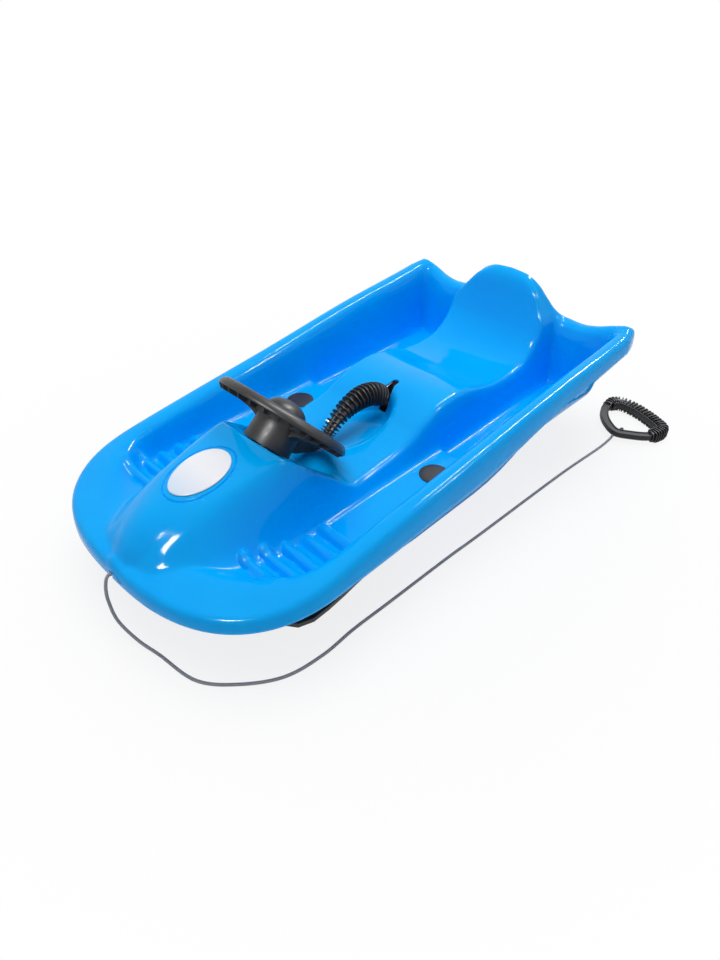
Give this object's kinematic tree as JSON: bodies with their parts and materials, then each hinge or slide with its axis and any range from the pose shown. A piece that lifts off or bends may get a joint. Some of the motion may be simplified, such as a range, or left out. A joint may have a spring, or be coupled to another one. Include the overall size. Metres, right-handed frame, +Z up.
{
  "type": "sled",
  "caption": "Steerable moulded bob sled with a steering wheel turning two front skis, a pull-up brake lever with a claw, rear runners and a tow rope with a pull handle.",
  "frame": {"origin": "on the ground under the middle of the sled, tow rope and its handle left out", "axes": "nose toward -Y, +Z up, rider's left at +X"},
  "size_m": [0.6471, 1.0956, 0.3033],
  "materials": {
    "blue_plastic": "glossy moulded",
    "grey_plastic": "satin",
    "black_plastic": "satin",
    "steel": "zinc plated",
    "rope": "braided",
    "white_label": "satin"
  },
  "bodies": {
    "sled": {"badge": "white_label", "beam_screw_left_1": "steel", "beam_screw_left_2": "steel", "beam_screw_right_1": "steel", "beam_screw_right_2": "steel", "bracket_screw_left": "steel", "bracket_screw_right": "steel", "brake_axle": "steel", "brake_bracket": "black_plastic", "brake_screw_left_1": "steel", "brake_screw_left_2": "steel", "brake_screw_right_1": "steel", "brake_screw_right_2": "steel", "brake_spring": "steel", "column_bracket": "black_plastic", "column_bush": "black_plastic", "front_beam": "black_plastic", "handle_knot": "rope", "hull": "blue_plastic", "kingpin_left": "steel", "kingpin_right": "steel", "nose_knot": "rope", "pull_handle": "black_plastic", "runner_left": "blue_plastic", "runner_plug_left": "black_plastic", "runner_plug_right": "black_plastic", "runner_right": "blue_plastic", "tow_rope": "rope"},
    "steering": {"steering_wheel": "grey_plastic", "wheel_cap": "grey_plastic", "column_collar": "grey_plastic", "steering_shaft": "steel", "steering_arm": "black_plastic", "arm_pin": "steel"},
    "ski_left": {"ski_left": "grey_plastic", "peg_clip_left": "steel"},
    "ski_right": {"ski_right": "grey_plastic", "peg_clip_right": "steel"},
    "linkage": {"tie_bar": "black_plastic"},
    "brake": {"brake_lever": "black_plastic", "brake_claw": "steel", "claw_rivet_1": "steel", "claw_rivet_2": "steel"}
  },
  "joints": [
    {"name": "wheel_turn", "type": "hinge", "parent": "sled", "child": "steering", "pos_m": [0, -0.167, 0.214], "axis": [0, 0.7373, 0.6756], "range_deg": [-20, 20]},
    {"name": "bar_slide", "type": "slide", "parent": "sled", "child": "linkage", "axis": [1, 0, 0], "range_m": [-0.019, 0.019]},
    {"name": "ski_left_turn", "type": "hinge", "parent": "sled", "child": "ski_left", "pos_m": [0.165, -0.209, 0.04], "axis": [0, 0, 1], "range_deg": [-22, 22]},
    {"name": "ski_right_turn", "type": "hinge", "parent": "sled", "child": "ski_right", "pos_m": [-0.165, -0.209, 0.04], "axis": [0, 0, 1], "range_deg": [-22, 22]},
    {"name": "brake_pull", "type": "hinge", "parent": "sled", "child": "brake", "pos_m": [0, 0.14, 0.116], "axis": [-1, 0, 0], "range_deg": [0, 25], "stiffness_Nm_per_rad": 0.8, "springref_deg": -28.65}
  ],
  "couplings": [
    {"joint": "bar_slide", "follows": "wheel_turn", "m_per_rad": -0.0527},
    {"joint": "ski_left_turn", "follows": "wheel_turn", "ratio": -1.06},
    {"joint": "ski_right_turn", "follows": "wheel_turn", "ratio": -1.06}
  ]
}
